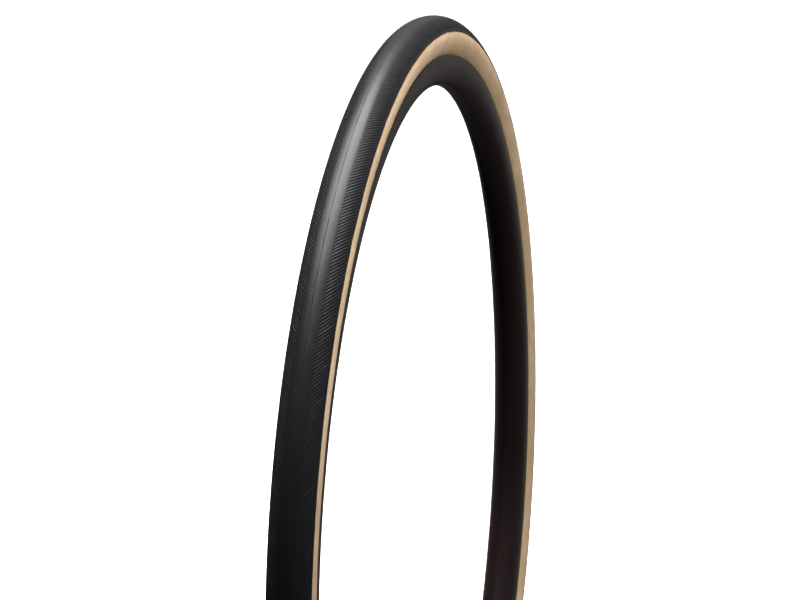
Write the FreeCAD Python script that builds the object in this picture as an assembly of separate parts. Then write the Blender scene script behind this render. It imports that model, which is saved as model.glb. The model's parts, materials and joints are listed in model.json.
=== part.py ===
"""Bicycle tire, 700 x 32C, mounted and inflated on a plain rim hoop.

Millimetres. The origin is the centre of the wheel. +Y is the wheel's axis and
+Z is up. The valve stands at the bottom of the hoop and points up at the centre.

A section of the hoop is drawn in the XY plane, where x is the distance from the
wheel's axis and y is across the tire, and is turned once round the Y axis.
"""
import FreeCAD
import Part
import math
import os

V = FreeCAD.Vector

# Tire: ETRTO 32-622
BEAD_SEAT_R = 311.0
TIRE_SIZE = 32.0
TIRE_HALF_WIDTH = TIRE_SIZE / 2
SECTION_R = BEAD_SEAT_R + TIRE_SIZE - TIRE_HALF_WIDTH
TREAD_EDGE_DEG = 70.0
TREAD_DEPTH = 2.9
BELT_THICKNESS = 0.6
BELT_EDGE_DEG = 40.0
CASING_CROWN_WALL = 0.6
CASING_SIDE_WALL = 1.1
LOWER_SIDE_DROP = 14.6
INNER_SIDE_DROP = 13.5
INNER_TURN_DEG = 44.8

# Beads
BEAD_CORE_R = 1.05
BEAD_HOLE_R = 1.1
BEAD_PLY = 0.5
CHAFER_THICKNESS = 0.4
BEAD_CENTRE_R = BEAD_SEAT_R + CHAFER_THICKNESS + BEAD_PLY + BEAD_HOLE_R
BEAD_CENTRE_Y = 9.0
BEAD_FILLET = 2.0

# Rim hoop
FLANGE_IN_Y = 11.2
FLANGE_OUT_Y = 12.9
FLANGE_TOP_R = 316.3
FLANGE_FOOT_R = 314.0
NOSE_R = 294.5
NOSE_LIMIT_R = 322.0
NOSE_HALF_WIDTH = 13.24
NOSE_POWER = 2.3
NOSE_STEPS = 7
SEAT_IN_Y = 8.3
WELL_R = 307.5
WELL_Y = 6.7
RIM_WALL = 1.35
VALVE_HOLE_R = 3.3
VALVE_HOLE_SPAN = (0.5, 18.0)

# Corners of the hollow inside the rim, on one side
CHAMBER_NOSE_R = 296.0
CHAMBER_SIDE = ((298.0, 5.6), (300.7, 7.7), (305.4, 9.8))
CHAMBER_TOP_Y = 10.7
CHAMBER_SEAT_Y = 8.6
CHAMBER_WELL_Y = 7.1

# Tape over the rim's well
TAPE_THICKNESS = 0.5
TAPE_GAP = 0.02
TAPE_FLOOR_INSET = 0.05
TAPE_TOP_INSET = 0.3
TAPE_LIP_DROP = 0.3
TAPE_LIP_INSET = 0.2

# Sleeve in the rim's hollow, at the top of the hoop
SLEEVE_LENGTH = 80.0
SLEEVE_GAP = 0.12

# Inner tube
TUBE_CROWN_RISE = 12.2
TUBE_HALF_WIDTH = 14.6
TUBE_FLANK = ((320.5, 12.4), (316.6, 9.0), (313.2, 6.7), (310.6, 6.2))
TUBE_FLOOR_R = 309.1
TUBE_FLOOR_Y = 5.2
TUBE_WALL = 0.9
TUBE_HOLE_SPAN = (-2.0, 6.0)
STEM_CLEARANCE = 0.05
PATCH_HALF_LENGTH = 14.0
PATCH_HALF_WIDTH = 5.0
PATCH_THICKNESS = 0.95
PATCH_GAP = 0.05

# Valve: heights are measured from the stem's foot towards the wheel's centre
STEM_FOOT_Z = -311.0
STEM_R = 3.0
STEM_FOOT_R = 4.4
STEM_FOOT_THICKNESS = 0.95
STEM_SHOULDER = 42.3
STEM_TOP = 48.3
STEM_NECK_R = 2.6
STEM_GROOVE = (21.3, 22.3)
STEM_GROOVE_R = 2.7
STEM_BORE_R = 1.6
CORE_SEAT = 38.8
CORE_BORE_R = 2.05
GASKET_THICKNESS = 0.5
GASKET_IN_R = 1.45
CORE_R = 2.0
CORE_HEAD_R = 2.4
CORE_FLAT = 1.95
CORE_TOP = 50.8
CORE_HEAD_GAP = 0.1
CORE_STACK_GAP = 0.02
CORE_PIN_HOLE_R = 0.9
PIN_R = 0.8
PIN_FOOT = 36.9
PIN_FOOT_R = 1.3
PIN_FOOT_THICKNESS = 0.8
PIN_TOP = 57.6
PIN_TIP_R = 1.0
PIN_TIP_LENGTH = 0.4
SEAL_TOP_GAP = 0.05
NUT_R = 1.9
NUT_HOLE_R = 0.9
NUT_BOTTOM = 50.9
NUT_LENGTH = 3.5
RING_GAP = 0.1
RING_R = 5.5
RING_HOLE_R = 3.1
RING_LENGTH = 3.5
RING_CHAMFER = 0.5
CAP_BOTTOM = 42.6
CAP_TOP = 59.5
CAP_SKIRT_R = 3.6
CAP_TOP_R = 2.9
CAP_BORE_R = 2.75
CAP_BORE_TOP = 58.3
CAP_NOSE_ROUND = 0.9

# How far a cutter passes the face that it cuts
OVERRUN = 1.0


def line(start, end):
    """A straight edge between two (x, y) points of the section."""
    return Part.makeLine(V(start[0], start[1], 0), V(end[0], end[1], 0))


def arc(start, middle, end):
    """A round edge through three (x, y) points of the section."""
    points = [V(x, y, 0) for x, y in (start, middle, end)]
    return Part.Arc(*points).toShape()


def chain(points):
    """Straight edges from each point of the section to the next."""
    return [line(a, b) for a, b in zip(points, points[1:])]


def face_of(edges):
    return Part.Face(Part.Wire(Part.__sortEdges__(edges)))


def hoop(face):
    """Turn a section once round the wheel's axis."""
    return face.revolve(V(0, 0, 0), V(0, 1, 0), 360)


def mirrored(points):
    """The points, followed by the same points on the other side of the tire."""
    return points + [(x, -y) for x, y in reversed(points)]


def half_oval(rise, half_width):
    """The crown half of an ellipse about the section's centre."""
    oval = Part.Ellipse(V(SECTION_R, half_width, 0), V(SECTION_R + rise, 0, 0),
                        V(SECTION_R, 0, 0))
    return oval.toShape(0, math.pi)


def side_oval(drop, half_width, side, turn):
    """The part of an ellipse that goes from the widest point towards the bead."""
    oval = Part.Ellipse(V(SECTION_R, side * half_width, 0), V(SECTION_R - drop, 0, 0),
                        V(SECTION_R, 0, 0))
    return oval.toShape(0, turn)


def side_point(drop, half_width, turn):
    """Where side_oval ends, on the +Y side."""
    return SECTION_R - drop * math.sin(turn), half_width * math.cos(turn)


def cylinder(radius, low, high):
    """A cylinder on the valve's axis between two heights over the stem's foot."""
    return Part.makeCylinder(radius, high - low, V(0, 0, STEM_FOOT_Z + low))


# The sidewall's outer face runs at 45 degrees where it leaves the ellipse,
# then turns down beside the flange and goes round the bead core.
SIDE_TURN = math.atan(LOWER_SIDE_DROP / TIRE_HALF_WIDTH)
SIDE_END = side_point(LOWER_SIDE_DROP, TIRE_HALF_WIDTH, SIDE_TURN)
BEAD_LOOP_R = BEAD_HOLE_R + BEAD_PLY
BEAD_OUT_Y = BEAD_CENTRE_Y + BEAD_LOOP_R
FILLET_REACH = BEAD_FILLET * math.tan(math.radians(22.5))
FILLET_CENTRE = (SIDE_END[0] - (SIDE_END[1] - BEAD_OUT_Y) - FILLET_REACH,
                 BEAD_OUT_Y + BEAD_FILLET)


def beside_fillet(side, offset, degrees):
    """A point of the bead's hollow fillet, moved out towards the flange by offset."""
    reach = BEAD_FILLET - offset
    turn = math.radians(degrees)
    x = FILLET_CENTRE[0] + reach * math.sin(turn)
    y = FILLET_CENTRE[1] - reach * math.cos(turn)
    return x, side * y


def round_bead(side, offset, degrees):
    """A point round the bead core; 0 degrees is the side that faces the flange."""
    reach = BEAD_LOOP_R + offset
    turn = math.radians(degrees)
    x = BEAD_CENTRE_R - reach * math.sin(turn)
    y = BEAD_CENTRE_Y + reach * math.cos(turn)
    return x, side * y


def bead_edges(side, offset, end_degrees):
    """The outside of a bead, from the sidewall to end_degrees round the core."""
    top = beside_fillet(side, offset, 45)
    foot = beside_fillet(side, offset, 0)
    flank = round_bead(side, offset, 0)
    end = round_bead(side, offset, end_degrees)
    return [arc(top, beside_fillet(side, offset, 22.5), foot),
            line(foot, flank),
            arc(flank, round_bead(side, offset, end_degrees / 2), end)]


def bead_tangent(point):
    """Degrees round the core where a straight line from the point just touches."""
    dx = point[0] - BEAD_CENTRE_R
    dy = point[1] - BEAD_CENTRE_Y
    swing = math.acos(BEAD_LOOP_R / math.hypot(dx, dy))
    return math.degrees(math.atan2(-dx, dy) + 2 * math.pi - swing)


INNER_HALF_WIDTH = TIRE_HALF_WIDTH - CASING_SIDE_WALL
INNER_TURN = math.radians(INNER_TURN_DEG)
INNER_END = side_point(INNER_SIDE_DROP, INNER_HALF_WIDTH, INNER_TURN)
CASING_RISE = TIRE_HALF_WIDTH - TREAD_DEPTH


def casing_face():
    """One cotton ply that goes from bead to bead and turns up round each core."""
    edges = [half_oval(CASING_RISE, TIRE_HALF_WIDTH),
             half_oval(CASING_RISE - CASING_CROWN_WALL, INNER_HALF_WIDTH)]
    turn_up = bead_tangent(INNER_END)
    for side in (1, -1):
        edges.append(side_oval(LOWER_SIDE_DROP, TIRE_HALF_WIDTH, side, SIDE_TURN))
        edges.append(line((SIDE_END[0], side * SIDE_END[1]), beside_fillet(side, 0, 45)))
        edges += bead_edges(side, 0, turn_up)
        edges.append(line(round_bead(side, 0, turn_up), (INNER_END[0], side * INNER_END[1])))
        edges.append(side_oval(INNER_SIDE_DROP, INNER_HALF_WIDTH, side, INNER_TURN))
    face = face_of(edges)
    for side in (1, -1):
        face = face.cut(bead_disc(side))
    return face


def bead_disc(side):
    centre = V(BEAD_CENTRE_R, side * BEAD_CENTRE_Y, 0)
    return Part.Face(Part.Wire(Part.makeCircle(BEAD_HOLE_R, centre)))


def fan(radius, degrees):
    """A pie slice about the section's centre, as wide as degrees each way."""
    turn = math.radians(degrees)
    tip = (SECTION_R, 0)
    low = (SECTION_R + radius * math.cos(turn), -radius * math.sin(turn))
    high = (low[0], -low[1])
    return face_of([line(tip, low), arc(low, (SECTION_R + radius, 0), high), line(high, tip)])


def crown_face(rise):
    """Half an ellipse, closed across the section's widest line."""
    across = line((SECTION_R, TIRE_HALF_WIDTH), (SECTION_R, -TIRE_HALF_WIDTH))
    return face_of([half_oval(rise, TIRE_HALF_WIDTH), across])


def belt_face():
    band = crown_face(CASING_RISE + BELT_THICKNESS).cut(crown_face(CASING_RISE))
    return band.common(fan(TIRE_SIZE, BELT_EDGE_DEG))


def tread_face():
    tread = fan(TIRE_HALF_WIDTH, TREAD_EDGE_DEG).cut(crown_face(CASING_RISE))
    return tread.cut(belt_face())


def chafer_face(side):
    """The strip that keeps the rim from wearing the casing."""
    end = 180.0
    inside = bead_edges(side, 0, end)
    outside = bead_edges(side, CHAFER_THICKNESS, end)
    caps = [line(beside_fillet(side, 0, 45), beside_fillet(side, CHAFER_THICKNESS, 45)),
            line(round_bead(side, 0, end), round_bead(side, CHAFER_THICKNESS, end))]
    return face_of(inside + outside + caps)


def bead_core(side):
    torus = Part.makeTorus(BEAD_CENTRE_R, BEAD_CORE_R, V(0, 0, 0), V(0, 1, 0))
    torus.translate(V(0, side * BEAD_CENTRE_Y, 0))
    return torus


def drawn_in(points, depth):
    """The tube's flank, moved into the tube by depth."""
    inner = [(points[0][0], points[0][1] - depth)]
    for before, here, after in zip(points, points[1:], points[2:]):
        dx = after[0] - before[0]
        dy = after[1] - before[1]
        length = math.hypot(dx, dy)
        inner.append((here[0] - depth * dy / length, here[1] + depth * dx / length))
    inner.append((points[-1][0] + depth, points[-1][1] - depth / 2))
    return inner


def tube_face(depth):
    """The inflated tube's outline, with a flat floor where the valve goes through."""
    flank = [(SECTION_R, TUBE_HALF_WIDTH), *TUBE_FLANK, (TUBE_FLOOR_R, TUBE_FLOOR_Y)]
    if depth:
        flank = drawn_in(flank, depth)
    floor_r, floor_y = flank[-1]
    edges = [half_oval(TUBE_CROWN_RISE - depth, TUBE_HALF_WIDTH - depth),
             line((floor_r, floor_y), (floor_r, -floor_y))]
    for side in (1, -1):
        curve = Part.BSplineCurve()
        curve.interpolate([V(x, side * y, 0) for x, y in flank])
        edges.append(curve.toShape())
    return face_of(edges)


def inner_tube():
    tube = hoop(tube_face(0).cut(tube_face(TUBE_WALL)))
    return tube.cut(cylinder(STEM_R + STEM_CLEARANCE, *TUBE_HOLE_SPAN))


def tube_valve_patch():
    """The pad that holds the stem on the tube's floor."""
    high = TUBE_FLOOR_R - PATCH_GAP
    low = high - PATCH_THICKNESS
    corners = [(low, -PATCH_HALF_WIDTH), (high, -PATCH_HALF_WIDTH),
               (high, PATCH_HALF_WIDTH), (low, PATCH_HALF_WIDTH), (low, -PATCH_HALF_WIDTH)]
    band = hoop(face_of(chain(corners)))
    pad = band.common(cylinder(PATCH_HALF_LENGTH, *TUBE_HOLE_SPAN))
    return pad.cut(cylinder(STEM_R + STEM_CLEARANCE, *TUBE_HOLE_SPAN))


def nose_curve():
    """The rim's rounded inner side, from one flange's foot to the other's."""
    depth = NOSE_LIMIT_R - NOSE_R
    share = 2 / NOSE_POWER
    last = math.acos(((NOSE_LIMIT_R - FLANGE_FOOT_R) / depth) ** (1 / share))
    half = []
    for step in range(NOSE_STEPS, 0, -1):
        turn = last * step / NOSE_STEPS
        half.append((NOSE_LIMIT_R - depth * math.cos(turn) ** share,
                     NOSE_HALF_WIDTH * math.sin(turn) ** share))
    half[0] = (FLANGE_FOOT_R, FLANGE_OUT_Y)
    points = half + [(NOSE_R, 0)] + [(x, -y) for x, y in reversed(half)]
    curve = Part.BSplineCurve()
    curve.interpolate([V(x, y, 0) for x, y in points])
    return curve.toShape()


def rim_outline():
    crest_r = FLANGE_TOP_R - (FLANGE_OUT_Y - FLANGE_IN_Y) / 2
    crest_y = (FLANGE_OUT_Y + FLANGE_IN_Y) / 2
    edges = [line((WELL_R, WELL_Y), (WELL_R, -WELL_Y)), nose_curve()]
    for side in (1, -1):
        well = [(WELL_R, side * WELL_Y), (BEAD_SEAT_R, side * SEAT_IN_Y),
                (BEAD_SEAT_R, side * FLANGE_IN_Y), (crest_r, side * FLANGE_IN_Y)]
        edges += chain(well)
        edges.append(arc(well[-1], (FLANGE_TOP_R, side * crest_y), (crest_r, side * FLANGE_OUT_Y)))
        edges.append(line((crest_r, side * FLANGE_OUT_Y), (FLANGE_FOOT_R, side * FLANGE_OUT_Y)))
    return face_of(edges)


def chamber_face(gap):
    """The hollow inside the rim, drawn smaller by gap."""
    nose = (CHAMBER_NOSE_R + gap, 0)
    seat_r = BEAD_SEAT_R - RIM_WALL - gap
    half = [(x + gap, y - gap) for x, y in CHAMBER_SIDE]
    half += [(seat_r, CHAMBER_TOP_Y - gap), (seat_r, CHAMBER_SEAT_Y),
             (WELL_R - RIM_WALL - gap, CHAMBER_WELL_Y)]
    return face_of(chain([nose] + mirrored(half) + [nose]))


def rim():
    """A hollow hoop, drilled for the valve only."""
    ring = hoop(rim_outline()).cut(hoop(chamber_face(0)))
    return ring.cut(cylinder(VALVE_HOLE_R, *VALVE_HOLE_SPAN))


def rim_joint_sleeve():
    """The plug that joins the rolled hoop's two ends, opposite the valve."""
    turn = math.degrees(SLEEVE_LENGTH / BEAD_SEAT_R)
    section = chamber_face(SLEEVE_GAP)
    section.rotate(V(0, 0, 0), V(0, 1, 0), -90 - turn / 2)
    return section.revolve(V(0, 0, 0), V(0, 1, 0), turn)


def rim_tape():
    """The strip that covers the rim's well and turns up its two flanks."""
    floor = WELL_R + TAPE_GAP
    top = floor + TAPE_THICKNESS
    lip_r = BEAD_SEAT_R - TAPE_LIP_DROP
    lip_y = SEAT_IN_Y - TAPE_LIP_INSET
    half = [(top, WELL_Y - TAPE_TOP_INSET), (lip_r, lip_y - TAPE_THICKNESS),
            (lip_r, lip_y), (floor, WELL_Y - TAPE_FLOOR_INSET)]
    outline = mirrored(half)
    strip = hoop(face_of(chain(outline + outline[:1])))
    return strip.cut(cylinder(VALVE_HOLE_R, *VALVE_HOLE_SPAN))


def valve_stem():
    stem = cylinder(STEM_FOOT_R, 0, STEM_FOOT_THICKNESS)
    stem = stem.fuse(cylinder(STEM_R, 0, STEM_SHOULDER))
    stem = stem.fuse(cylinder(STEM_NECK_R, STEM_SHOULDER, STEM_TOP))
    low, high = STEM_GROOVE
    groove = cylinder(STEM_FOOT_R, low, high).cut(cylinder(STEM_GROOVE_R, low, high))
    stem = stem.cut(groove)
    stem = stem.cut(cylinder(STEM_BORE_R, -OVERRUN, CORE_SEAT))
    return stem.cut(cylinder(CORE_BORE_R, CORE_SEAT, STEM_TOP + OVERRUN))


def valve_core_gasket():
    low = CORE_SEAT + CORE_STACK_GAP
    high = CORE_SEAT + GASKET_THICKNESS
    ring = cylinder(CORE_R - CORE_STACK_GAP, low, high)
    return ring.cut(cylinder(GASKET_IN_R, low, high))


def valve_core():
    """The removable brass body; its head has two flats for a spanner."""
    low = CORE_SEAT + GASKET_THICKNESS + CORE_STACK_GAP
    head_low = STEM_TOP + CORE_HEAD_GAP
    core = cylinder(CORE_R, low, head_low)
    head = cylinder(CORE_HEAD_R, head_low, CORE_TOP)
    flats = Part.makeBox(2 * CORE_FLAT, 2 * CORE_HEAD_R, CORE_TOP - STEM_TOP,
                         V(-CORE_FLAT, -CORE_HEAD_R, STEM_FOOT_Z + STEM_TOP))
    core = core.fuse(head.common(flats))
    return core.cut(cylinder(CORE_PIN_HOLE_R, low - OVERRUN, CORE_TOP + OVERRUN))


def valve_pin():
    pin = cylinder(PIN_R, PIN_FOOT, PIN_TOP - PIN_TIP_LENGTH)
    pin = pin.fuse(cylinder(PIN_FOOT_R, PIN_FOOT, PIN_FOOT + PIN_FOOT_THICKNESS))
    return pin.fuse(cylinder(PIN_TIP_R, PIN_TOP - PIN_TIP_LENGTH, PIN_TOP))


def valve_pin_seal():
    low = PIN_FOOT + PIN_FOOT_THICKNESS
    high = CORE_SEAT + GASKET_THICKNESS - SEAL_TOP_GAP
    return cylinder(PIN_FOOT_R, low, high).cut(cylinder(PIN_R, low, high))


def valve_thumb_nut():
    high = NUT_BOTTOM + NUT_LENGTH
    nut = cylinder(NUT_R, NUT_BOTTOM, high)
    return nut.cut(cylinder(NUT_HOLE_R, NUT_BOTTOM, high))


def valve_lock_ring():
    """The knurled nut that stands on the rim."""
    low = -NOSE_R - STEM_FOOT_Z + RING_GAP
    ring = cylinder(RING_R, low, low + RING_LENGTH)
    rims = [e for e in ring.Edges if isinstance(e.Curve, Part.Circle)]
    ring = ring.makeChamfer(RING_CHAMFER, rims)
    return ring.cut(cylinder(RING_HOLE_R, low, low + RING_LENGTH))


def valve_cap():
    """A slim cap over the stem's neck, the core and the thumb nut."""
    cap = Part.makeCone(CAP_SKIRT_R, CAP_TOP_R, CAP_TOP - CAP_BOTTOM,
                        V(0, 0, STEM_FOOT_Z + CAP_BOTTOM))
    nose = [e for e in cap.Edges
            if isinstance(e.Curve, Part.Circle) and abs(e.Curve.Radius - CAP_TOP_R) < 0.01]
    cap = cap.makeFillet(CAP_NOSE_ROUND, nose)
    return cap.cut(cylinder(CAP_BORE_R, CAP_BOTTOM - OVERRUN, CAP_BORE_TOP))


def main():
    nodes = {
        "tread_cap": hoop(tread_face()),
        "puncture_belt": hoop(belt_face()),
        "casing_ply": hoop(casing_face()),
        "bead_core_left": bead_core(-1),
        "bead_core_right": bead_core(1),
        "chafer_left": hoop(chafer_face(-1)),
        "chafer_right": hoop(chafer_face(1)),
        "inner_tube": inner_tube(),
        "tube_valve_patch": tube_valve_patch(),
        "rim": rim(),
        "rim_joint_sleeve": rim_joint_sleeve(),
        "rim_tape": rim_tape(),
        "valve_stem": valve_stem(),
        "valve_core_gasket": valve_core_gasket(),
        "valve_core": valve_core(),
        "valve_pin": valve_pin(),
        "valve_pin_seal": valve_pin_seal(),
        "valve_thumb_nut": valve_thumb_nut(),
        "valve_lock_ring": valve_lock_ring(),
        "valve_cap": valve_cap(),
    }
    os.makedirs("parts", exist_ok=True)
    for name, shape in nodes.items():
        solids = shape.Solids
        part = solids[0] if len(solids) == 1 else Part.makeCompound(solids)
        part.exportStep("parts/" + name + ".step")
        print(name, "solids", len(solids), "valid", part.isValid(), "mm3", round(part.Volume, 1))


main()
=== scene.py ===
"""Looks of a 700 x 32C bicycle tire on a plain black hoop, built round its CAD frame.

Lengths in the geometry code are millimetres, as in the CAD source, and become metres
where a mesh is made. A section of the hoop is a list of (r, y) points, where r is the
distance from the wheel's axis and y is across the tire.
"""
import json
import math

import bpy
import numpy as np
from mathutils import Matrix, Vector


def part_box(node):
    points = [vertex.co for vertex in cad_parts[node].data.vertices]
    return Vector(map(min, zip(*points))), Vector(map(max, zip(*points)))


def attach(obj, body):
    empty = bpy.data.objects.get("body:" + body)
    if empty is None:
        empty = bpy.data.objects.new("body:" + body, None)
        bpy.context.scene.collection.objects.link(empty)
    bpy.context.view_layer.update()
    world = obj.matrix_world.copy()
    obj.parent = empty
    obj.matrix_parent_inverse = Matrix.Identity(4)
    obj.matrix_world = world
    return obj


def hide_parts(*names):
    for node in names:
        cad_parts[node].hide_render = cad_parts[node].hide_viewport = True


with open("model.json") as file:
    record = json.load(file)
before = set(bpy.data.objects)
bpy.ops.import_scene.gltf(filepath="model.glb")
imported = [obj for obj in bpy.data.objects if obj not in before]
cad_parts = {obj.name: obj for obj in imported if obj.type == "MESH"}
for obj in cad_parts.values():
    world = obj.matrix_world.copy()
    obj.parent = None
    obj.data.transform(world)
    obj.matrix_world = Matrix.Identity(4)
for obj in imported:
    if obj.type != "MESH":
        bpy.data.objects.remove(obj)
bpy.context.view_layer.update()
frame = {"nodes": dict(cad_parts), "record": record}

MM = 0.001
TAU = 2 * math.pi


def cad_mm(node):
    """The CAD node's lowest and highest corner in millimetres."""
    low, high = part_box(node)
    return low / MM, high / MM


# Sizes read from the CAD frame
TREAD_LOW = cad_mm("tread_cap")[0]
CASING_HIGH = cad_mm("casing_ply")[1]
STEM_LOW, STEM_HIGH = cad_mm("valve_stem")
CORE_LOW, CORE_HIGH = cad_mm("valve_core")
PIN_LOW, PIN_HIGH = cad_mm("valve_pin")
NUT_LOW, NUT_HIGH = cad_mm("valve_thumb_nut")
RING_LOW, RING_HIGH = cad_mm("valve_lock_ring")
CAP_LOW, CAP_HIGH = cad_mm("valve_cap")
BEAD_LOW, BEAD_HIGH = cad_mm("bead_core_right")

# The tire's section: its centre, its outside, and the ply's half axes outside and inside
SECTION_R = 327.0
OUTER_R = 16.0
HALF_WIDTH = CASING_HIGH.y
CASING_RISE = 13.1
LOWER_DROP = 14.6
INNER_HALF_WIDTH = 14.9
INNER_RISE = 12.5
INNER_DROP = 13.5
INNER_END = math.radians(44.8)

# The beads: centre, the ply round the core, the core's hole, and the fillet beside the flange
BEAD_R = 313.0
BEAD_Y = (BEAD_LOW.y + BEAD_HIGH.y) / 2
BEAD_LOOP = 1.6
BEAD_HOLE = 1.1
BEAD_FILLET = 2.0
BEAD_LOOP_END_DEG = 232


# ---------------------------------------------------------------- meshes

def grid_faces(rows, count, first=0):
    """Quads between a closed loop of rows and a closed ring of columns."""
    i, j = np.meshgrid(np.arange(rows), np.arange(count), indexing="ij")
    i2, j2 = (i + 1) % rows, (j + 1) % count
    quads = np.stack([i * count + j, i2 * count + j, i2 * count + j2, i * count + j2], -1)
    return quads.reshape(-1, 4) + first


def signed_volume(points, quads):
    a, b, c, d = (points[quads[:, k]] for k in range(4))
    return (np.einsum("ij,ij->", a, np.cross(b, c)) + np.einsum("ij,ij->", a, np.cross(c, d))) / 6


def facing(points, quads, outward=True):
    """The quads, turned so that their normals face out of the solid, or into a hollow."""
    volume = signed_volume(points, quads - quads.min())
    if (volume > 0) != outward:
        quads = quads[:, ::-1]
    return quads


def hoop_points(r, y, theta):
    """Points of the hoop. r and y are rows by columns or one value per row."""
    r, y = np.broadcast_arrays(r, y)
    return np.stack([r * np.cos(theta), y, r * np.sin(theta)], -1).reshape(-1, 3)


def make_piece(name, shells, sharp_deg=35.0):
    """A smooth-shaded mesh object from a list of (points in mm, faces) shells."""
    points, faces, first = [], [], 0
    for shell_points, shell_faces in shells:
        points.append(shell_points)
        faces += [[int(k) + first for k in f] for f in shell_faces]
        first += len(shell_points)
    mesh = bpy.data.meshes.new(name)
    mesh.from_pydata((np.concatenate(points) * MM).tolist(), [], faces)
    mesh.polygons.foreach_set("use_smooth", np.ones(len(mesh.polygons), bool))
    mesh.set_sharp_from_angle(angle=math.radians(sharp_deg))
    mesh.update()
    obj = bpy.data.objects.new(name, mesh)
    bpy.context.scene.collection.objects.link(obj)
    return obj


def hoop_shell(section, count, outward=True, swell=None):
    """A closed section turned round the wheel's axis. swell(theta, section) moves points in r and y."""
    section = np.asarray(section, float)
    theta = np.arange(count) * TAU / count
    r = np.repeat(section[:, :1], count, 1)
    y = np.repeat(section[:, 1:], count, 1)
    if swell is not None:
        dr, dy = swell(theta[None, :], section)
        r, y = r + dr, y + dy
    points = hoop_points(r, y, theta[None, :])
    return points, facing(points, grid_faces(len(section), count), outward)


def arc_points(centre, radius, start, end, steps):
    """Points of a circle in the section; 0 degrees points away from the axis, 90 towards +y."""
    turn = np.radians(np.linspace(start, end, steps + 1))
    return [(centre[0] + radius * math.cos(t), centre[1] + radius * math.sin(t)) for t in turn]


def rounded(corners, steps=5):
    """A closed outline of (x, y, corner radius) with each corner turned by an arc."""
    outline = []
    count = len(corners)
    for i, (x, y, radius) in enumerate(corners):
        here = Vector((x, y))
        if not radius:
            outline.append((x, y))
            continue
        back = (Vector(corners[i - 1][:2]) - here).normalized()
        ahead = (Vector(corners[(i + 1) % count][:2]) - here).normalized()
        half = math.acos(max(-1.0, min(1.0, back.dot(ahead)))) / 2
        reach = radius / math.tan(half)
        centre = here + (back + ahead).normalized() * (radius / math.sin(half))
        start = here + back * reach - centre
        end = here + ahead * reach - centre
        turn = start.angle_signed(end)
        for k in range(steps + 1):
            a = -turn * k / steps
            outline.append((centre.x + start.x * math.cos(a) - start.y * math.sin(a),
                            centre.y + start.x * math.sin(a) + start.y * math.cos(a)))
    return outline


def slow_wave(theta, terms):
    """A sum of whole-number waves round the hoop: (cycles, height, phase) each."""
    return sum(h * np.sin(n * theta + p) for n, h, p in terms)


# ---------------------------------------------------------------- tread

CROWN_DEG = 20.0
CROWN_COLUMNS = 1440
SEAM_DEG = 1.05
SEAM_WIDTH_DEG = 0.4
SEAM_DEPTH = 0.17
SEAM_BREAKS = [(41, 0.5, 0.3), (67, 0.4, 2.0), (113, 0.3, 4.4)]
SEAM_WANDER_DEG = 0.12
EDGE_DEG = 70.0
EDGE_STEP = 0.16
RIBS = 800
RIB_SAMPLES = 6
RIB_PROFILE = np.array([0.0, 0.0, 0.0, 0.85, 1.0, 0.85])
RIB_LEAN = 1.0355  # the tangent of 46 degrees
RIB_END_DEG = 64.0
GROOVE_DEPTH = 0.33
NOTCH_DEPTH = 0.2
EDGE_WAVES = [(37, 0.32, 0.4), (61, 0.22, 1.9), (103, 0.16, 4.1), (171, 0.08, 2.2)]


def tread_inner(phi):
    """Distance from the section's centre to the casing at this angle."""
    return 1 / np.sqrt((np.cos(phi) / CASING_RISE) ** 2 + (np.sin(phi) / HALF_WIDTH) ** 2)


def tread_points(phi, reach, theta):
    """phi is the angle from the crown, + towards +y; reach is from the section's centre."""
    return hoop_points(SECTION_R + reach * np.cos(phi), reach * np.sin(phi), theta)


def rows_of(degrees, count):
    """One row of equal angles, in radians, for each value in degrees."""
    return np.radians(np.array(degrees))[:, None] + np.zeros((1, count))


def tread_crown():
    """The smooth band down the middle, with the fine broken seam of the mould."""
    count = CROWN_COLUMNS
    theta = np.arange(count) * TAU / count
    left = [-CROWN_DEG, -18, -15, -12, -9, -6, -4, -2, -1]
    near_seam = [SEAM_DEG + d for d in (-1.1, -0.7, -0.4, 0.0, 0.4, 0.7, 1.1)]
    degrees = left + near_seam + [3, 5, 8, 11, 14, 17, 18.5, CROWN_DEG]
    phi = rows_of(degrees, count)
    offset = (np.radians(np.array(degrees)) - math.radians(SEAM_DEG))[:, None]
    cut = np.clip(0.5 + 1.6 * slow_wave(theta, SEAM_BREAKS), 0, 1)
    seam = np.exp(-(offset / math.radians(SEAM_WIDTH_DEG)) ** 2)
    groove = SEAM_DEPTH * seam * (0.5 + 0.5 * cut)
    wander = math.radians(SEAM_WANDER_DEG) * slow_wave(theta, [(5, 0.6, 0.9), (13, 0.4, 2.4)])
    phi = phi + wander * (np.abs(offset) < math.radians(1.3))
    under = rows_of([CROWN_DEG, 12, 4, -4, -12, -CROWN_DEG], count)
    phi = np.concatenate([phi, under])
    reach = np.concatenate([OUTER_R - groove, tread_inner(under)])
    points = tread_points(phi, reach, theta[None, :])
    return make_piece("tread_crown", [(points, facing(points, grid_faces(len(phi), count)))], 40)


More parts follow.
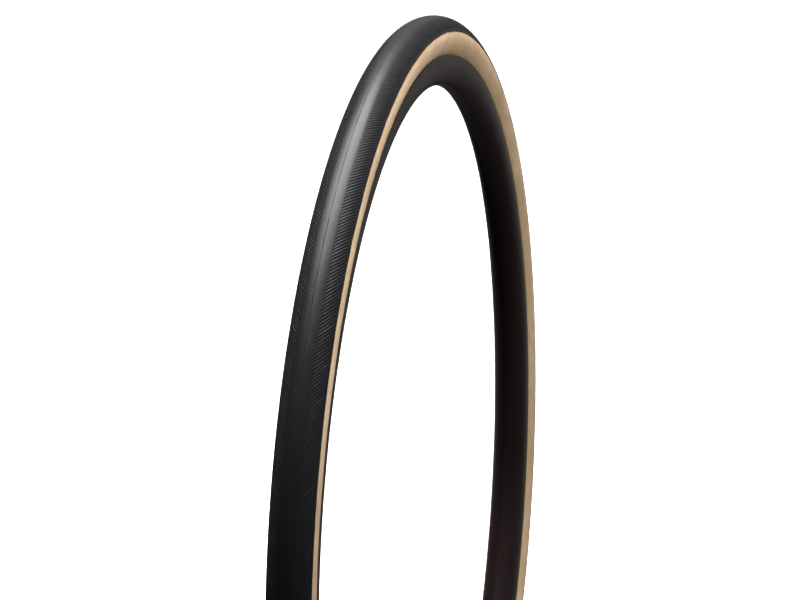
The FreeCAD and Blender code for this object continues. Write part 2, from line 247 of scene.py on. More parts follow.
def tread_shoulder(side, name):
    """One shoulder: fine ribs filed across it, then a smooth margin and a stepped edge."""
    count = RIBS * RIB_SAMPLES
    column = np.arange(count)
    rib = column // RIB_SAMPLES
    degrees = np.array([CROWN_DEG, 21.5, 23.5, 27, 31, 35, 39, 43, 47, 51, 55, 59, 62,
                        RIB_END_DEG, 67, 69.4, EDGE_DEG])
    phi = rows_of(degrees, count)
    arc = OUTER_R * (phi - math.radians(CROWN_DEG))
    theta = column[None, :] * TAU / count - arc * RIB_LEAN / (SECTION_R + OUTER_R * np.cos(phi))
    groove = RIB_PROFILE[column % RIB_SAMPLES][None, :]
    rise = np.clip((degrees - 20.5) / 10.0, 0, 1)
    fall = np.clip((RIB_END_DEG - degrees) / 2.0, 0, 1)
    fade = (rise * fall)[:, None]
    row = np.arange(len(degrees))[:, None]
    notch = NOTCH_DEPTH * (((row + rib[None, :]) % 2) == 0) * (1 - groove)
    uneven = 1 + 0.12 * np.sin(rib * 2.399) + 0.08 * np.sin(rib * 0.61)
    depth = (GROOVE_DEPTH * groove * uneven[None, :] + notch) * fade
    wave = np.radians(slow_wave(theta, EDGE_WAVES)) * np.clip((degrees - 62) / 6, 0, 1)[:, None]
    phi = phi + wave
    step = np.where(degrees >= EDGE_DEG, EDGE_STEP, 0.0)[:, None]
    reach = OUTER_R - depth - step
    # The underside lies on the casing and comes back to the first row.
    low = rows_of([EDGE_DEG - 0.6, 45.0, CROWN_DEG], count)
    low[0] += wave[-1]
    low_theta = np.stack([theta[-1], theta[9], theta[0]])
    phi = np.concatenate([phi, low])
    theta = np.concatenate([theta, low_theta])
    reach = np.concatenate([reach, tread_inner(low) + np.array([0.0, -0.05, 0.0])[:, None]])
    points = tread_points(side * phi, reach, theta)
    return make_piece(name, [(points, facing(points, grid_faces(len(phi), count)))], 33)


# ---------------------------------------------------------------- casing

def oval_point(rise, half_width, turn):
    """A point of the ellipse about the section's centre, turn radians from the crown."""
    return SECTION_R + rise * math.cos(turn), half_width * math.sin(turn)


def drop_point(drop, half_width, turn):
    """A point of the lower ellipse, turn radians below the section's widest line."""
    return SECTION_R - drop * math.sin(turn), half_width * math.cos(turn)


def casing_section():
    """The ply's outline from the crown down one side, round the bead, and back inside."""
    crown = [oval_point(CASING_RISE, HALF_WIDTH, t)
             for t in np.radians([0, 12, 24, 36, 48, 58, 66, 72, 77, 81, 85, 90])]
    turn = math.atan(LOWER_DROP / HALF_WIDTH)
    side = [drop_point(LOWER_DROP, HALF_WIDTH, t) for t in np.linspace(0, turn, 12)[1:]]
    out_y = BEAD_Y + BEAD_LOOP
    reach = BEAD_FILLET * math.tan(math.radians(22.5))
    hollow = (side[-1][0] - (side[-1][1] - out_y) - reach, out_y + BEAD_FILLET)
    fillet = [(hollow[0] + BEAD_FILLET * math.sin(t), hollow[1] - BEAD_FILLET * math.cos(t))
              for t in np.radians([45, 30, 15, 0])]
    loop = [(BEAD_R - BEAD_LOOP * math.sin(t), BEAD_Y + BEAD_LOOP * math.cos(t))
            for t in np.radians(np.linspace(0, BEAD_LOOP_END_DEG, 12))]
    inner_side = [drop_point(INNER_DROP, INNER_HALF_WIDTH, t)
                  for t in [INNER_END, *np.radians([30, 15, 0])]]
    inner_crown = [oval_point(INNER_RISE, INNER_HALF_WIDTH, t)
                   for t in np.radians([78, 62, 46, 30, 15, 0])]
    half = crown[1:] + side + fillet + loop + inner_side + inner_crown[:-1]
    return [crown[0]] + half + [inner_crown[-1]] + [(r, -y) for r, y in reversed(half)]


# Where the ply overlaps: angle round the hoop and width in radians, height in mm
SPLICES = [(1.15, 0.06, 0.10), (1.72, 0.05, 0.08), (2.63, 0.07, 0.09), (0.30, 0.05, 0.08),
           (3.55, 0.06, 0.10), (4.70, 0.06, 0.08), (5.55, 0.05, 0.10)]
SPLICE_RAMP = 0.006
SWELL_START_DEG, SWELL_END_DEG = 72, 136
SWELL_LIMIT = 0.14
SKIN_DROP = 0.03


def casing_swell(theta, section):
    """The ply's overlaps stand up a little, and the cloth is never quite even."""
    section = np.asarray(section)
    centre = np.array([SECTION_R, 0.0])
    out = section - centre
    length = np.linalg.norm(out, axis=1, keepdims=True)
    out = out / length
    phi = np.degrees(np.arctan2(np.abs(section[:, 1]), section[:, 0] - SECTION_R))
    outside = (length[:, 0] > 14.2) & (phi > SWELL_START_DEG) & (phi < SWELL_END_DEG)
    start = np.clip((phi - SWELL_START_DEG) / 5, 0, 1)
    end = np.clip((SWELL_END_DEG - phi) / 12, 0, 1)
    skin = (outside * start * end)[:, None]
    lean = (section[:, 0:1] - SECTION_R) / SECTION_R * np.sign(section[:, 1:2] + 1e-9)
    rise = 0.05 * slow_wave(theta + lean, [(29, 0.5, 1.0), (53, 0.4, 3.0), (97, 0.3, 5.2)])
    for middle, width, height in SPLICES:
        away = np.abs((theta + lean - middle + math.pi) % TAU - math.pi)
        rise = rise + height * np.clip((width / 2 - away) / SPLICE_RAMP, 0, 1)
    rise = np.minimum(rise, SWELL_LIMIT) * skin - SKIN_DROP * skin
    return rise * out[:, 0:1], rise * out[:, 1:2]


def casing():
    shells = [hoop_shell(casing_section(), 900, swell=casing_swell)]
    for side in (1, -1):
        hole = arc_points((BEAD_R, side * BEAD_Y), BEAD_HOLE, 0, 345, 23)
        shells.append(hoop_shell(hole, 240, outward=False))
    return make_piece("casing", shells, 40)


# ---------------------------------------------------------------- rim

# The rounded inner side: part of a superellipse that leans towards -y
NOSE_R = 294.5
NOSE_LIMIT_R = 322.0
NOSE_HALF_WIDTH = 13.24
NOSE_POWER = 2.3
NOSE_STEPS = 18
NOSE_LEAN = -1.6
FLANGE_FOOT_R = 314.0

# The flange's crest, and corners of the +y side as (r, y, corner radius)
CREST_CENTRE = (315.45, 12.05)
CREST_R = 0.85
BED_CORNERS = [(311.0, 11.2, 0.5), (311.0, 8.3, 0.5), (307.5, 6.7, 0.7)]
CHAMBER_NOSE_R = 296.0
CHAMBER_SIDE = [(298.0, 5.6, 0.8), (300.7, 7.7, 0.8), (305.4, 9.8, 0.8)]
CHAMBER_ROOF = [(309.65, 10.7, 0.4), (309.65, 8.6, 0.4), (306.15, 7.1, 0.6)]

VALVE_HOLE_R = 3.3
DRILL_SPAN = (-315.0, -290.0)


def leaning(r, y):
    """The point, moved towards -y by as much as the nose leans at this depth."""
    share = min(1.0, (r - NOSE_R) / (FLANGE_FOOT_R - NOSE_R))
    return r, y + NOSE_LEAN * (1 - share ** 3)


def rim_nose():
    """The rounded inner side, from just past its middle to one flange's foot."""
    depth = NOSE_LIMIT_R - NOSE_R
    share = 2 / NOSE_POWER
    last = math.acos(((NOSE_LIMIT_R - FLANGE_FOOT_R) / depth) ** (1 / share))
    return [(NOSE_LIMIT_R - depth * math.cos(t) ** share, NOSE_HALF_WIDTH * math.sin(t) ** share, 0)
            for t in np.linspace(0, last, NOSE_STEPS + 1)[1:]]


def rim_outline(middle_r, leaning_half, straight_half):
    """An outline from its middle and the corners of the +y side: first those that lean."""
    corners = [(*leaning(middle_r, 0.0), 0)]
    corners += [(*leaning(r, y), c) for r, y, c in leaning_half]
    corners += straight_half + [(r, -y, c) for r, y, c in reversed(straight_half)]
    corners += [(*leaning(r, -y), c) for r, y, c in reversed(leaning_half)]
    return rounded(corners, 4)


def rim():
    """The hollow hoop, drilled through both walls for the valve."""
    crest = [(r, y, 0) for r, y in arc_points(CREST_CENTRE, CREST_R, 90, -90, 10)]
    outside = rim_outline(NOSE_R, rim_nose(), crest + BED_CORNERS)
    chamber = rim_outline(CHAMBER_NOSE_R, CHAMBER_SIDE, CHAMBER_ROOF)
    hoop = make_piece("rim_hoop", [hoop_shell(outside, 720),
                                   hoop_shell(chamber, 360, outward=False)], 50)
    drill = make_piece("valve_drill", [turned([(VALVE_HOLE_R, z) for z in DRILL_SPAN], 48)])
    cut = hoop.modifiers.new("valve_hole", "BOOLEAN")
    cut.operation = "DIFFERENCE"
    cut.solver = "EXACT"
    cut.object = drill
    with bpy.context.temp_override(object=hoop, active_object=hoop, selected_objects=[hoop]):
        bpy.ops.object.modifier_apply(modifier=cut.name)
    bpy.data.objects.remove(drill)
    hoop.data.set_sharp_from_angle(angle=math.radians(50))
    return hoop


# ---------------------------------------------------------------- valve

def turned(profile, count, closed=False, shape=None):
    """A (points, faces) shell turned about the valve's axis from (radius, z) points.

    A closed profile is a ring with a bore. An open one is a solid, with a flat at each end.
    shape(radius, z, angle) changes the radius of each point.
    """
    profile = np.asarray(profile, float)
    angle = np.arange(count) * TAU / count
    r = np.repeat(profile[:, :1], count, 1)
    z = np.repeat(profile[:, 1:], count, 1)
    if shape is not None:
        r = shape(r, z, angle[None, :])
    points = np.stack([r * np.cos(angle), r * np.sin(angle), z], -1).reshape(-1, 3)
    rows = len(profile)
    if closed:
        return points, facing(points, grid_faces(rows, count)).tolist()
    quads = grid_faces(rows, count)[: (rows - 1) * count]
    first = list(range(count))
    last = list(range((rows - 1) * count, rows * count))
    rising = profile[-1, 1] > profile[0, 1]
    if rising:
        quads = quads[:, ::-1]
        faces = quads.tolist() + [first[::-1], last]
    else:
        faces = quads.tolist() + [first, last[::-1]]
    return points, faces


def thread(low, high, major, pitch, depth):
    """A shape function that cuts a screw thread between two heights."""
    def shape(r, z, angle):
        phase = ((z - low) / pitch - angle / TAU) % 1.0
        cut = depth * np.clip(1 - np.abs(phase - 0.5) * 2.6, 0, 1)
        inside = (z > low) & (z < high) & (np.abs(r - major) < 0.01)
        return np.where(inside, r - cut, r)
    return shape


def steps_between(radius, low, high, step):
    """Profile points up a plain length, close enough together to carry a thread."""
    count = max(1, round((high - low) / step))
    return [(radius, z) for z in np.linspace(low, high, count + 1)]


# Radii of the stem, and its heights over its foot
STEM_R = 3.0
STEM_GROOVE_R = 2.7
NECK_R = 2.6
STEM_BORE_R = 1.6
CORE_BORE_R = 2.05
STEM_GROOVE = (21.3, 22.3)
CORE_SEAT = 38.8
STEM_SHOULDER = 42.3


def stem():
    """The M6 stem with its foot, a groove above the lock ring, and the reduced neck."""
    foot, top = STEM_LOW.z, STEM_HIGH.z
    groove = (foot + STEM_GROOVE[0], foot + STEM_GROOVE[1])
    shoulder = foot + STEM_SHOULDER
    seat = foot + CORE_SEAT
    outside = ([(4.2, foot), (4.4, foot + 0.15), (4.4, foot + 0.8), (4.2, foot + 0.95),
                (STEM_R, foot + 0.95)]
               + steps_between(STEM_R, foot + 1.1, groove[0], 0.1)
               + [(STEM_GROOVE_R, groove[0] + 0.02), (STEM_GROOVE_R, groove[1] - 0.02)]
               + steps_between(STEM_R, groove[1], shoulder - 0.3, 0.1)
               + [(2.75, shoulder), (NECK_R, shoulder + 0.02)]
               + steps_between(NECK_R, shoulder + 0.1, top - 0.2, 0.12)
               + [(2.45, top)])
    inside = [(CORE_BORE_R, top), (CORE_BORE_R, seat), (STEM_BORE_R, seat), (STEM_BORE_R, foot)]
    body = thread(foot + 1.3, shoulder - 0.35, STEM_R, 0.8, 0.42)
    neck = thread(shoulder + 0.3, top - 0.25, NECK_R, 1.06, 0.3)
    shell = turned(outside + inside, 40, closed=True,
                   shape=lambda r, z, a: neck(body(r, z, a), z, a))
    return make_piece("stem", [shell], 60)


def knurled(teeth, outer, depth):
    """A shape function that presses straight teeth into an outer face."""
    def shape(r, z, angle):
        tooth = depth * np.clip(0.5 + 0.9 * np.cos(teeth * angle), 0, 1)
        return np.where(r > outer - 0.02, r - tooth, r)
    return shape


def lock_ring():
    low, high, outer = RING_LOW.z, RING_HIGH.z, RING_HIGH.x
    profile = [(3.1, low), (outer - 0.6, low), (outer - 0.35, low + 0.08), (outer, low + 0.5),
               (outer, high - 0.5), (outer - 0.35, high - 0.08), (outer - 0.6, high),
               (3.5, high), (3.1, high - 0.3)]
    return make_piece("lock_ring", [turned(profile, 36 * 8, True, knurled(36, outer, 0.32))], 30)


def thumb_nut():
    low, high, outer = NUT_LOW.z, NUT_HIGH.z, NUT_HIGH.x
    profile = [(0.9, low), (outer - 0.35, low), (outer, low + 0.3), (outer, high - 1.2),
               (outer - 0.25, high - 1.0), (outer - 0.25, high - 0.2), (outer - 0.45, high), (0.9, high)]
    return make_piece("thumb_nut", [turned(profile, 20 * 8, True, knurled(20, outer, 0.14))], 30)


def core():
    low, high = CORE_LOW.z, CORE_HIGH.z
    flat = CORE_HIGH.x
    head = STEM_HIGH.z + 0.1
    outer = CORE_HIGH.y
    profile = [(0.9, low), (1.8, low), (2.0, low + 0.2), (2.0, head), (outer, head + 0.01),
               (outer, high - 0.25), (outer - 0.25, high), (0.9, high)]

    def flats(r, z, angle):
        across = np.abs(r * np.cos(angle))
        return np.where((z > head) & (across > flat), flat / np.maximum(np.abs(np.cos(angle)), 0.1), r)
    return make_piece("core", [turned(profile, 64, True, flats)], 30)


def pin():
    low, high = PIN_LOW.z, PIN_HIGH.z
    outside = ([(1.15, low), (1.3, low + 0.15), (1.3, low + 0.78), (0.8, low + 0.8)]
               + steps_between(0.8, low + 1.0, high - 0.5, 0.1)
               + [(1.0, high - 0.38), (1.0, high - 0.12), (0.85, high)])
    shape = thread(low + 9.0, high - 0.6, 0.8, 0.5, 0.16)
    return make_piece("pin", [turned(outside, 32, shape=shape)], 40)


def cap():
    """A slim ribbed cap, closed at the top and bored from below."""
    low, high = CAP_LOW.z, CAP_HIGH.z
    skirt, top = CAP_HIGH.x, 2.9
    ribs, count = 12, 144
    slope = (top - skirt) / (high - low)
    wall = [(skirt - 0.15, low), (skirt, low + 0.2)]
    wall += [(skirt + slope * (z - low), z) for z in np.linspace(low + 1.0, high - 1.6, 24)]
    nose = [(2.0 + 0.9 * math.sin(t), high - 0.9 + 0.9 * math.cos(t))
            for t in np.radians([80, 60, 40, 20, 0])]
    top_face = [(1.9, high), (1.0, high)]

    def ribbed(r, z, angle):
        up = np.clip((z - low - 1.0) / 0.6, 0, 1) * np.clip((high - 4.0 - z) / 0.8, 0, 1)
        rib = 0.3 * np.clip(0.55 - 0.9 * np.cos(ribs * angle), 0, 1) * up
        return np.where(r > 2.8, r - rib, r)

    points, faces = turned(wall + nose + top_face, count, shape=ribbed)
    bore_points, bore_faces = turned([(2.75, low + 0.02), (2.75, low + 15.5)], count)
    # Both shells lose their bottom flat, and the skirt's open edge joins the bore.
    faces = [f for f in faces if len(f) == 4 or min(f) > 0]
    first = len(points)
    bore_faces = [[k + first for k in f][::-1] for f in bore_faces if len(f) == 4 or min(f) > 0]
    lip = [[j, (j + 1) % count, first + (j + 1) % count, first + j][::-1] for j in range(count)]
    return make_piece("cap", [(np.concatenate([points, bore_points]), faces + bore_faces + lip)], 30)


# ---------------------------------------------------------------- materials

class Look:
    """A material whose colour, roughness and bump come from nodes in the row frame."""

    def __init__(self, name, **fixed):
        self.mat = bpy.data.materials.new(name)
        self.mat.use_nodes = True
        self.tree = self.mat.node_tree
        self.shader = self.tree.nodes["Principled BSDF"]
        for socket, value in fixed.items():
            self.shader.inputs[socket.replace("_", " ")].default_value = value
        self.place = self.node("ShaderNodeTexCoord").outputs["Object"]
        self.height = None

    def node(self, kind, **settings):
        made = self.tree.nodes.new(kind)
        for name, value in settings.items():
            setattr(made, name, value)
        return made

    def feed(self, socket, value):
        if isinstance(value, bpy.types.NodeSocket):
            self.tree.links.new(value, socket)
        else:
            socket.default_value = value

    def math(self, operation, a, b=0.0, c=0.0):
        made = self.node("ShaderNodeMath", operation=operation)
        for socket, value in zip(made.inputs, (a, b, c)):
            self.feed(socket, value)
        return made.outputs[0]

    def noise(self, scale, detail=3.0, rough=0.55, place=None):
        made = self.node("ShaderNodeTexNoise")
        self.feed(made.inputs["Vector"], place or self.place)
        made.inputs["Scale"].default_value = scale
        made.inputs["Detail"].default_value = detail
        made.inputs["Roughness"].default_value = rough
        return made.outputs["Fac"]

    def spread(self, value, low, high, to_low, to_high):
        made = self.node("ShaderNodeMapRange", clamp=True)
        for socket, v in zip(made.inputs, (value, low, high, to_low, to_high)):
            self.feed(socket, v)
        return made.outputs[0]

    def mix(self, factor, a, b, blend="MIX"):
        made = self.node("ShaderNodeMix", data_type="RGBA", blend_type=blend)
        self.feed(made.inputs["Factor"], factor)
        for socket, value in ((made.inputs[6], a), (made.inputs[7], b)):
            if not isinstance(value, bpy.types.NodeSocket):
                value = (*value, 1.0)
            self.feed(socket, value)
        return made.outputs[2]

    def polar(self):
        """(angle round the hoop, distance from the axis in metres, y in metres)."""
        split = self.node("ShaderNodeSeparateXYZ")
        self.feed(split.inputs[0], self.place)
        x, y, z = split.outputs
        angle = self.math("ARCTAN2", z, x)
        away = self.math("SQRT", self.math("ADD", self.math("MULTIPLY", x, x), self.math("MULTIPLY", z, z)))
        return angle, away, y

    def combined(self, x, y, z):
        made = self.node("ShaderNodeCombineXYZ")
        for socket, value in zip(made.inputs, (x, y, z)):
            self.feed(socket, value)
        return made.outputs[0]

    def weighted(self, a, a_share, b, b_share):
        """The sum of a and b, each times its share."""
        return self.math("ADD", self.math("MULTIPLY", a, a_share), self.math("MULTIPLY", b, b_share))

    def drift(self, cloud, dark, light):
        """A colour that goes from dark to light with a noise."""
        return self.mix(self.spread(cloud, 0.3, 0.7, 0.0, 1.0), dark, light)

    def colour(self, socket):
        self.feed(self.shader.inputs["Base Color"], socket)

    def rough(self, socket):
        self.feed(self.shader.inputs["Roughness"], socket)

    def bump(self, height, distance, strength=1.0):
        made = self.node("ShaderNodeBump")
        made.inputs["Strength"].default_value = strength
        made.inputs["Distance"].default_value = distance
        self.feed(made.inputs["Height"], height)
        self.feed(self.shader.inputs["Normal"], made.outputs[0])


RUBBER_TINT = (0.97, 0.955, 1.0, 1.0)


def worn(look, low_rough, high_rough):
    """Rubber's fine grain, and (patches, roughness) that follow its wear."""
    cloud = look.noise(9.0, 4.0)
    grain = look.noise(900.0, 2.0)
    look.bump(grain, 0.00006)
    wear = look.weighted(cloud, 0.7, grain, 0.3)
    return cloud, look.spread(wear, 0.35, 0.65, low_rough, high_rough)


def rubber(name, dark, light, low_rough, high_rough):
    look = Look(name, Specular_IOR_Level=0.5, Specular_Tint=RUBBER_TINT)
    cloud, rough = worn(look, low_rough, high_rough)
    look.colour(look.drift(cloud, dark, light))
    look.rough(rough)
    return look.mat


def tread_material():
    """Black rubber, smooth on the crown and duller towards each edge."""
    look = Look("tread_rubber", Specular_IOR_Level=0.48, Specular_Tint=RUBBER_TINT)
    away, y = look.polar()[1:]
    rise = look.math("SUBTRACT", away, SECTION_R * MM)
    lean = look.math("ARCTAN2", look.math("ABSOLUTE", y), rise)
    shoulder = look.spread(lean, math.radians(16), math.radians(46), 0.0, 1.0)
    cloud, rough = worn(look, 0.38, 0.48)
    base = look.drift(cloud, (0.0045, 0.0045, 0.0055), (0.008, 0.008, 0.0095))
    look.colour(look.mix(shoulder, base, (0.0055, 0.0055, 0.0068)))
    look.rough(look.math("ADD", rough, look.math("MULTIPLY", shoulder, 0.1)))
    return look.mat


THREAD_PITCH = 0.0009
OLIVE_BAND = (0.3196, 0.3176)


def casing_material():
    """Tan cotton under clear rubber: threads both ways, blotches, overlaps, an olive lower band."""
    look = Look("cotton_casing", Specular_IOR_Level=0.35)
    angle, away = look.polar()[:2]
    along = look.math("MULTIPLY", angle, SECTION_R * MM)
    threads = []
    for sign in (1.0, -1.0):
        across = look.math("MULTIPLY", away, sign)
        phase = look.math("MULTIPLY", look.math("ADD", along, across), TAU / THREAD_PITCH)
        threads.append(look.math("SINE", phase))
    weave = look.math("MAXIMUM", *threads)
    blotch = look.noise(26.0, 5.0, 0.6)
    fine = look.noise(240.0, 3.0, 0.6)
    tint = look.noise(11.0, 3.0, 0.5)
    base = look.drift(blotch, (0.455, 0.32, 0.18), (0.615, 0.46, 0.30))
    base = look.mix(look.spread(tint, 0.42, 0.68, 0.0, 0.4), base, (0.52, 0.335, 0.23))
    base = look.mix(look.spread(fine, 0.35, 0.75, 0.0, 0.3), base, (0.40, 0.27, 0.15))
    band = look.spread(away, *OLIVE_BAND, 0.0, 0.85)
    base = look.mix(band, base, (0.445, 0.37, 0.15))
    base = look.mix(look.spread(weave, -0.6, 0.9, 0.12, 0.0), base, (0.30, 0.19, 0.10))
    seam = look.math("SINE", look.weighted(angle, 9.0, away, 60.0))
    base = look.mix(look.spread(seam, 0.985, 1.0, 0.0, 0.35), base, (0.36, 0.22, 0.14))
    look.colour(base)
    look.rough(look.spread(look.math("ADD", blotch, fine), 0.7, 1.3, 0.42, 0.62))
    look.bump(look.math("ADD", look.math("MULTIPLY", weave, 0.5), fine), 0.00008)
    return look.mat


def anodised_material():
    """Satin black anodised hoop with faint lines from rolling."""
    look = Look("rim_black", Specular_IOR_Level=0.5, Specular_Tint=(1.0, 0.86, 0.85, 1.0))
    angle, away, y = look.polar()
    stretched = look.combined(look.math("MULTIPLY", y, 1800.0), look.math("MULTIPLY", away, 1800.0), angle)
    lines = look.noise(1.0, 3.0, 0.5, stretched)
    cloud = look.noise(7.0, 3.0)
    look.colour(look.drift(cloud, (0.0065, 0.0036, 0.0036), (0.0125, 0.0072, 0.0072)))
    look.rough(look.spread(look.weighted(cloud, 0.6, lines, 0.4), 0.35, 0.65, 0.27, 0.40))
    look.bump(lines, 0.00003)
    return look.mat


def grained(look, scale, fine_scale, dark, light, low_rough, high_rough, bump):
    """A surface with slow patches in its colour and a fine grain in its bump."""
    cloud = look.noise(scale, 3.0)
    fine = look.noise(fine_scale, 2.0)
    look.colour(look.drift(cloud, dark, light))
    look.rough(look.spread(look.math("ADD", cloud, fine), 0.7, 1.3, low_rough, high_rough))
    look.bump(fine, bump)
    return look.mat


def metal(name, dark, light, low_rough, high_rough, scale=500.0):
    look = Look(name, Metallic=1.0)
    return grained(look, scale, scale * 8, dark, light, low_rough, high_rough, 0.00002)


def plastic(name, dark, light, low_rough, high_rough):
    look = Look(name, Specular_IOR_Level=0.45)
    return grained(look, 120.0, 2400.0, dark, light, low_rough, high_rough, 0.00003)


def cloth(name, dark, light, pitch, lean):
    """A woven or wound strip: threads along the hoop and leaning across it."""
    look = Look(name, Specular_IOR_Level=0.3)
    angle, away, y = look.polar()
    along = look.math("MULTIPLY", angle, 0.32)
    across = look.math("MULTIPLY", look.math("ADD", y, away), lean)
    threads = [look.math("SINE", look.math("MULTIPLY", look.math(way, along, across), TAU / pitch))
               for way in ("ADD", "SUBTRACT")]
    weave = look.math("MAXIMUM", *threads)
    cloud = look.noise(40.0, 4.0)
    gaps = tuple(c * 0.45 for c in dark)
    look.colour(look.mix(look.spread(weave, -0.5, 0.9, 0.35, 0.0), look.drift(cloud, dark, light), gaps))
    look.rough(look.spread(cloud, 0.3, 0.7, 0.6, 0.85))
    look.bump(weave, 0.00012)
    return look.mat


MATERIALS = {
    "tread_rubber": tread_material(),
    "belt_fabric": cloth("belt_fabric", (0.42, 0.34, 0.12), (0.60, 0.51, 0.24), 0.0011, 1.0),
    "cotton_casing": casing_material(),
    "bead_fibre": cloth("bead_fibre", (0.55, 0.43, 0.13), (0.74, 0.61, 0.27), 0.0008, 4.0),
    "chafer_fabric": cloth("chafer_fabric", (0.045, 0.038, 0.028), (0.10, 0.088, 0.065), 0.0007, 1.0),
    "tube_rubber": rubber("tube_rubber", (0.012, 0.012, 0.013), (0.05, 0.05, 0.05), 0.5, 0.75),
    "rim_black": anodised_material(),
    "bare_aluminium": metal("bare_aluminium", (0.62, 0.62, 0.64), (0.80, 0.80, 0.82), 0.28, 0.45, 60.0),
    "rim_tape_plastic": plastic("rim_tape_plastic", (0.05, 0.12, 0.32), (0.09, 0.19, 0.43), 0.45, 0.6),
    "nickel_brass": metal("nickel_brass", (0.60, 0.58, 0.53), (0.76, 0.74, 0.70), 0.18, 0.34),
    "bare_brass": metal("bare_brass", (0.66, 0.48, 0.20), (0.80, 0.62, 0.30), 0.22, 0.38),
    "cap_plastic": plastic("cap_plastic", (0.014, 0.014, 0.015), (0.03, 0.03, 0.032), 0.4, 0.55),
}


def finish_piece(obj, body, slot, nodes):
    obj.data.materials.clear()
    obj.data.materials.append(MATERIALS[slot])
    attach(obj, body)
    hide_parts(*nodes)


finish_piece(tread_crown(), "wheel", "tread_rubber", ["tread_cap"])
for side, name in ((-1, "tread_shoulder_left"), (1, "tread_shoulder_right")):
    finish_piece(tread_shoulder(side, name), "wheel", "tread_rubber", ["tread_cap"])
finish_piece(casing(), "wheel", "cotton_casing", ["casing_ply"])
finish_piece(rim(), "wheel", "rim_black", ["rim"])
finish_piece(stem(), "wheel", "nickel_brass", ["valve_stem"])
finish_piece(core(), "wheel", "bare_brass", ["valve_core"])
finish_piece(pin(), "pin", "bare_brass", ["valve_pin"])
finish_piece(thumb_nut(), "thumb_nut", "nickel_brass", ["valve_thumb_nut"])
finish_piece(lock_ring(), "lock_ring", "nickel_brass", ["valve_lock_ring"])
finish_piece(cap(), "cap", "cap_plastic", ["valve_cap"])

SLOT_OF = {s["node"]: s["material_slot"] for s in frame["record"]["subparts"]}
for node, obj in frame["nodes"].items():
    obj.data.materials.clear()
    obj.data.materials.append(MATERIALS[SLOT_OF[node]])


# ---------------------------------------------------------------- floor, light, camera

FLOOR_Z = TREAD_LOW.z * MM - 0.0005
FLOOR_HALF = 40
floor_mesh = bpy.data.meshes.new("floor")
floor_corners = [(x * FLOOR_HALF, y * FLOOR_HALF, FLOOR_Z) for x, y in ((-1, -1), (1, -1), (1, 1), (-1, 1))]
floor_mesh.from_pydata(floor_corners, [], [(0, 1, 2, 3)])
floor = bpy.data.objects.new("floor", floor_mesh)
bpy.context.scene.collection.objects.link(floor)
paint = Look("floor_paint", Specular_IOR_Level=0.0)
paint.colour(paint.mix(paint.noise(1.5), (0.90, 0.90, 0.90), (0.92, 0.92, 0.92)))
paint.shader.inputs["Roughness"].default_value = 0.9
paint.shader.inputs["Emission Color"].default_value = (1, 1, 1, 1)
paint.shader.inputs["Emission Strength"].default_value = 0.75
floor.data.materials.append(paint.mat)
floor.visible_glossy = False
floor.visible_diffuse = False

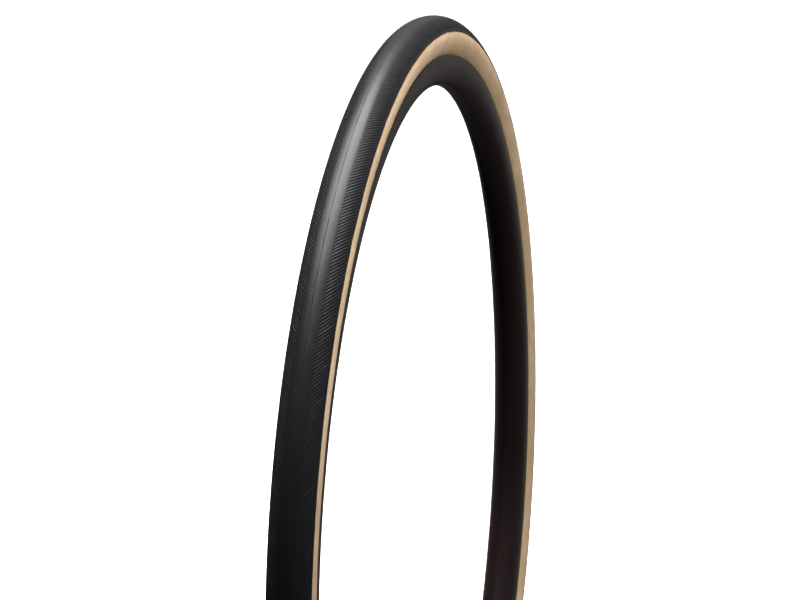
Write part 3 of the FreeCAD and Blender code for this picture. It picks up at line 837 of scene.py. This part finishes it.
# How the sky's light fades: axis, direction at the dim end and the bright end, and their strengths
SKY_FADES = [(0, -0.6, 0.3, 0.06, 0.32), (1, 0.7, 0.25, 0.2, 1.0), (1, -0.9, -0.45, 0.4, 1.0),
             (2, -0.6, 0.2, 0.15, 1.0)]
world = bpy.data.worlds.new("studio")
bpy.context.scene.world = world
world.use_nodes = True
sky = world.node_tree
place = sky.nodes.new("ShaderNodeTexCoord")
split = sky.nodes.new("ShaderNodeSeparateXYZ")
sky.links.new(place.outputs["Generated"], split.inputs[0])
strength = sky.nodes.new("ShaderNodeValue").outputs[0]
strength.default_value = 1.0
for axis, low, high, dim, bright in SKY_FADES:
    ramp = sky.nodes.new("ShaderNodeMapRange")
    ramp.interpolation_type = "SMOOTHSTEP"
    sky.links.new(split.outputs[axis], ramp.inputs[0])
    for socket, value in zip(ramp.inputs[1:5], (low, high, dim, bright)):
        socket.default_value = value
    product = sky.nodes.new("ShaderNodeMath")
    product.operation = "MULTIPLY"
    sky.links.new(strength, product.inputs[0])
    sky.links.new(ramp.outputs[0], product.inputs[1])
    strength = product.outputs[0]
# The backdrop itself looks pale; only the light that it gives is graded.
rays = sky.nodes.new("ShaderNodeLightPath")
seen = sky.nodes.new("ShaderNodeMix")
sky.links.new(rays.outputs["Is Camera Ray"], seen.inputs[0])
sky.links.new(strength, seen.inputs[2])
seen.inputs[3].default_value = 1.0
sky.links.new(seen.outputs[0], sky.nodes["Background"].inputs["Strength"])
sky.nodes["Background"].inputs["Color"].default_value = (1, 1, 1, 1)


def softbox(name, direction, distance, size, watts):
    lamp = bpy.data.lights.new(name, "AREA")
    lamp.shape = "RECTANGLE"
    lamp.size, lamp.size_y = size
    lamp.energy = watts
    holder = bpy.data.objects.new(name, lamp)
    out = Vector(direction).normalized()
    holder.location = out * distance
    holder.rotation_mode = "QUATERNION"
    holder.rotation_quaternion = out.to_track_quat("Z", "Y")
    bpy.context.scene.collection.objects.link(holder)
    return holder


softbox("overhead", (0.08, 0.11, 0.97), 3.0, (2.6, 2.0), 195.0)
# The fills light cloth and rubber, but nothing shiny mirrors them.
FILLS = [("fill_left", (-0.25, -0.68, 0.69), 1.3, (1.1, 0.8), 14.5),
         ("fill_low", (-0.25, -0.96, 0.05), 1.6, (1.4, 0.6), 5.5),
         ("fill_right", (0.1, 0.70, 0.70), 3.2, (2.4, 1.6), 75.0)]
for fill in FILLS:
    softbox(*fill).visible_glossy = False

camera = bpy.data.cameras.new("camera")
camera.lens = 186.48
camera.sensor_width = 36.0
camera.clip_start, camera.clip_end = 0.05, 100.0
eye = bpy.data.objects.new("camera", camera)
yaw, pitch = math.radians(13.90), math.radians(-13.64)
look_at = Vector((math.cos(pitch) * math.cos(yaw), math.cos(pitch) * math.sin(yaw), math.sin(pitch)))
eye.location = (-2.6948, -0.6562, 0.8222)
eye.rotation_mode = "QUATERNION"
eye.rotation_quaternion = look_at.to_track_quat("-Z", "Y")
bpy.context.scene.collection.objects.link(eye)
bpy.context.scene.camera = eye
bpy.context.scene.view_settings.view_transform = "Standard"
